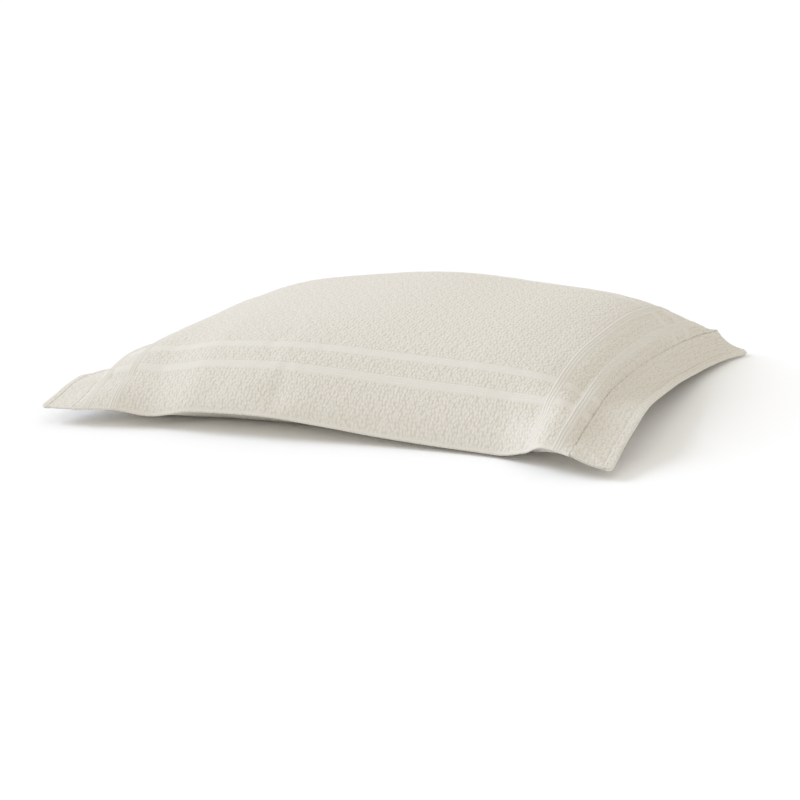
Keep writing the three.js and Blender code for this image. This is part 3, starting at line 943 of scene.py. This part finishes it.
def flange_mesh(side, table, t_lines, face, sizes, weave):
    """Two layers carried along an end seam, to either side of their centre surface. Returns the
    points, the quads, the triangles, the quads hidden in the seam, and for each point its flat
    place, how plain its cloth is and whether it is on the lower layer."""
    half = sizes.cloth_width / 2
    t = np.linspace(-half, half, round(sizes.cloth_width / FLANGE_STEP) + 1)
    seam = face[-1] if side > 0 else face[0]
    foot = np.stack([np.interp(t, t_lines, seam[:, k]) for k in range(3)], axis=-1)
    share = 1 - np.linspace(1, 0, round(sizes.flange_width / FLANGE_STEP) + 1) ** FLANGE_CROWDING
    width = flange_width(t, sizes)
    reach = share[:, None] * width
    centre = flange_centre(side, table, foot, reach, width, t, sizes)
    thick, pebbled = flange_section(width - reach, half - np.abs(t), sizes)
    flat = np.stack(np.broadcast_arrays(side * (sizes.cloth_length / 2 + reach), t), axis=-1)
    relief = MESH_SHARE * weave.pebble_rise * FLANGE_PEBBLES["mesh"] * pebbled
    relief = relief * (pebbles(flat[..., 0], flat[..., 1], weave) - 0.5) * quarter_round(width - reach)
    normal = grid_normals(centre)
    normal = normal * np.sign(normal[..., 2:3])
    leaving = smooth_step(0, SEAM_TURN, reach)[..., None]
    normal = leaving * normal + (1 - leaving) * np.array([0, 0, 1])
    layers = []
    for face_side, least in LEAST_HEIGHTS.items():
        layer = centre + face_side * normal * (thick + relief)[..., None]
        layer[..., 2] = np.maximum(layer[..., 2], least)
        layers.append(layer.reshape(-1, 3))
    points = np.concatenate(layers)
    quads, triangles, wall = close_layers(*reach.shape)
    if side < 0:
        quads, triangles = quads[:, ::-1], triangles[:, ::-1]
    used = np.unique(np.concatenate([quads.ravel(), triangles.ravel()]))
    lookup = np.zeros(len(points), int)
    lookup[used] = np.arange(len(used))
    cloth = np.tile(flat.reshape(-1, 2), (2, 1))[used]
    plain = np.tile((1 - pebbled).ravel(), 2)[used]
    return points[used], lookup[quads], lookup[triangles], wall, cloth, plain, used >= reach.size


class SHAM_OT_flanges(bpy.types.Operator):
    """Make the flat flange at each short end"""

    bl_idname = "sham.flanges"
    bl_label = "Flanges"

    def execute(self, context):
        sizes, weave, colours = chosen(context.scene)
        s_lines, t_lines = fine_lines(sizes)
        face = face_points(s_lines, t_lines, sizes)
        shift = frame_shift(face)
        hem_line = sizes.cloth_length / 2 + sizes.flange_width - sizes.hem_width
        bump_share = weave.bump_share * FLANGE_PEBBLES["bump"]
        material = cloth_material("flange_cloth", colours, weave, bump_share, hem_line)
        for side, name, table in ((-1, "left", LEFT_FLANGE), (1, "right", RIGHT_FLANGE)):
            points, quads, triangles, wall, cloth, plain, under_point = flange_mesh(
                side, table, t_lines, face, sizes, weave
            )
            mesh = make_mesh(f"flange_{name}_cloth", points + shift, quads, triangles, wall)
            under = np.concatenate([under_point[quads].all(axis=1), under_point[triangles].all(axis=1)])
            set_cloth_uv(mesh, cloth, under)
            set_attribute(mesh, "band", plain * PLAIN_TONE)
            mesh.materials.append(material)
            flange = add_piece(f"flange_{name}_cloth", mesh)
            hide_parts(f"flange_{name}")
            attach(flange, "root")
        return {"FINISHED"}


def add_floor(colour):
    """A round pale floor: a wide ring around a small disc."""
    around = np.linspace(0, 2 * np.pi, FLOOR_SIDES, endpoint=False)
    circle = np.column_stack([np.cos(around), np.sin(around), 0 * around])
    points = np.concatenate([*(radius * circle for radius in FLOOR_RADII), [[0, 0, 0]]])
    outer, inner = np.arange(2 * FLOOR_SIDES).reshape(2, FLOOR_SIDES)
    quads = ring_quads(np.stack([outer, inner]))[:, ::-1]
    fan = np.stack([inner, np.roll(inner, -1), np.full(FLOOR_SIDES, 2 * FLOOR_SIDES)], axis=-1)
    floor = add_piece("floor", make_mesh("floor", points, quads, fan))
    paper = bpy.data.materials.new("pale_floor")
    paper.use_nodes = True
    shader = paper.node_tree.nodes["Principled BSDF"]
    shader.inputs["Base Color"].default_value = (*colour, 1)
    shader.inputs["Roughness"].default_value = 0.9
    shader.inputs["Specular IOR Level"].default_value = 0.1
    floor.data.materials.append(paper)


def studio_world(stage):
    """An even light from all round, behind which the camera sees plain white."""
    world = bpy.data.worlds.new("studio")
    world.use_nodes = True
    tree = world.node_tree
    rays = tree.nodes.new("ShaderNodeLightPath")
    mix = add_node(tree, "ShaderNodeMix", {"Factor": rays.outputs["Is Camera Ray"]}, data_type="RGBA")
    mix.inputs[6].default_value = (*stage.sky, 1)
    mix.inputs[7].default_value = (1, 1, 1, 1)
    tree.links.new(mix.outputs[2], tree.nodes["Background"].inputs["Color"])
    return world


def add_soft_light(scene, stage):
    """The soft main light."""
    light = bpy.data.lights.new("soft_light", "SUN")
    light.energy = stage.sun
    light.color = stage.sun_tint
    light.angle = SUN_WIDTH
    lamp = bpy.data.objects.new("soft_light", light)
    lamp.rotation_euler = Vector(stage.sun_from).to_track_quat("Z", "Y").to_euler()
    scene.collection.objects.link(lamp)


class SHAM_OT_stage(bpy.types.Operator):
    """Set up the floor, the light and the camera"""

    bl_idname = "sham.stage"
    bl_label = "Stage"

    def execute(self, context):
        scene = context.scene
        add_floor(scene.sham_colours.floor)
        scene.world = studio_world(scene.sham_stage)
        add_soft_light(scene, scene.sham_stage)
        scene.view_settings.view_transform = "Standard"
        face = face_points(*fine_lines(scene.sham_sizes), scene.sham_sizes)
        place_camera(scene, scene.sham_stage, Vector(frame_shift(face)))
        return {"FINISHED"}


def place_camera(scene, stage, aim):
    """Camera on a sphere round its aim, leaned by its roll."""
    azimuth, elevation = stage.azimuth, stage.elevation
    back = Vector((
        math.sin(azimuth) * math.cos(elevation), -math.cos(azimuth) * math.cos(elevation), math.sin(elevation)
    ))
    right = Vector((math.cos(azimuth), math.sin(azimuth), 0))
    up = back.cross(right)
    leaned_right = math.cos(stage.roll) * right + math.sin(stage.roll) * up
    leaned_up = back.cross(leaned_right)
    data = bpy.data.cameras.new("camera")
    data.sensor_width = 36
    data.lens = stage.lens
    data.shift_x, data.shift_y = stage.shift_x, stage.shift_y
    data.clip_end = 100
    camera = bpy.data.objects.new("camera", data)
    axes = Matrix((leaned_right, leaned_up, back)).transposed()
    camera.matrix_world = Matrix.Translation(aim + back * stage.distance) @ axes.to_4x4()
    scene.collection.objects.link(camera)
    scene.camera = camera


class SHAM_PT_panel(bpy.types.Panel):
    """Sham pieces and their sizes"""

    bl_idname = "SHAM_PT_panel"
    bl_label = "Pillow sham"
    bl_space_type = "VIEW_3D"
    bl_region_type = "UI"
    bl_category = "Sham"

    def draw(self, context):
        layout = self.layout
        for operator in ("sham.body", "sham.flanges", "sham.stage"):
            layout.operator(operator)
        for group in GROUPS:
            values = getattr(context.scene, group)
            box = layout.box()
            for name in values.bl_rna.properties.keys():
                if name not in ("name", "rna_type"):
                    box.prop(values, name)


GROUPS = {
    "sham_sizes": ShamSizes,
    "sham_weave": ShamWeave,
    "sham_colours": ShamColours,
    "sham_stage": ShamStage,
}
CLASSES = (*GROUPS.values(), SHAM_OT_body, SHAM_OT_flanges, SHAM_OT_stage, SHAM_PT_panel)


def register():
    """Adds the classes and puts the values on the scene."""
    for kind in CLASSES:
        bpy.utils.register_class(kind)
    for name, kind in GROUPS.items():
        setattr(bpy.types.Scene, name, PointerProperty(type=kind))


def unregister():
    """Takes the values off the scene and removes the classes."""
    for name in GROUPS:
        delattr(bpy.types.Scene, name)
    for kind in reversed(CLASSES):
        bpy.utils.unregister_class(kind)


def main():
    """Makes the whole sham and its stage."""
    register()
    bpy.ops.sham.body()
    bpy.ops.sham.flanges()
    bpy.ops.sham.stage()


if __name__ == "__main__":
    main()
